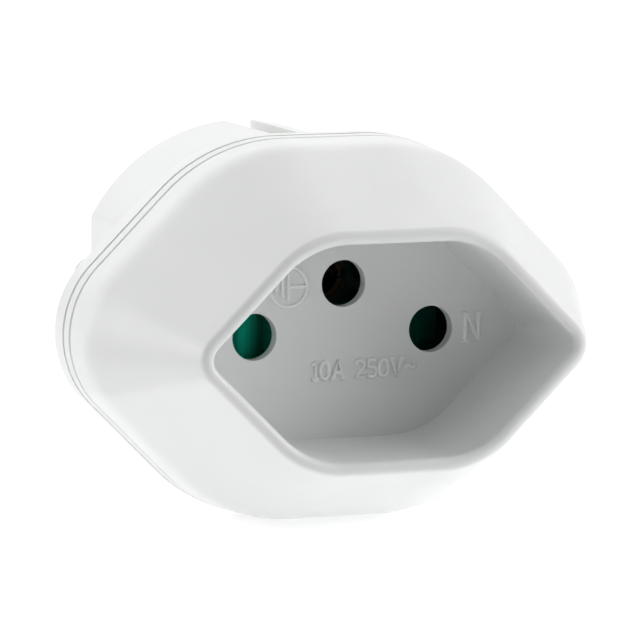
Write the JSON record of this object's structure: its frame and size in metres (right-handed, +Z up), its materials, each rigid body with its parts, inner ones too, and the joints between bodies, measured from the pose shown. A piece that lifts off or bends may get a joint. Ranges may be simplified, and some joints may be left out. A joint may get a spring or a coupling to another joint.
{
  "type": "travel adapter",
  "caption": "White travel adapter with a recessed six-sided earthed socket in front, green safety shutter behind its holes, and a round earthed plug with parallel pins at the back.",
  "frame": {"origin": "centre of the plug's end face, midway between its pins", "axes": "+Y out of the plug's end face along the pins, +Z up towards the socket's earth hole, +X from the live hole to the neutral hole"},
  "size_m": [0.0542, 0.0627, 0.0384],
  "materials": {
    "shell": "satin moulded",
    "shutter": "gloss moulded",
    "inner_plastic": "matte moulded",
    "brass": "turned",
    "plated_pin": "nickel plated",
    "steel": "zinc plated"
  },
  "bodies": {
    "adapter": {"case_screw_left": "steel", "case_screw_right": "steel", "contact_carrier": "inner_plastic", "cover_screw_left": "steel", "cover_screw_right": "steel", "earth_contact": "brass", "earth_contact_clip": "steel", "earth_screw": "steel", "earth_socket": "brass", "earth_strap": "plated_pin", "front_shell": "shell", "live_contact": "brass", "live_contact_clip": "steel", "live_pin": "plated_pin", "neutral_contact": "brass", "neutral_contact_clip": "steel", "neutral_pin": "plated_pin", "rear_shell": "shell", "shutter_cover": "inner_plastic", "shutter_spring": "steel"},
    "shutter": {"shutter": "shutter"}
  },
  "joints": [
    {"name": "shutter_slide", "type": "slide", "parent": "adapter", "child": "shutter", "axis": [-1, 0, 0], "range_m": [0, 0.0048], "stiffness_N_per_m": 100, "springref_m": -0.001, "deforming": ["shutter_spring"]}
  ]
}
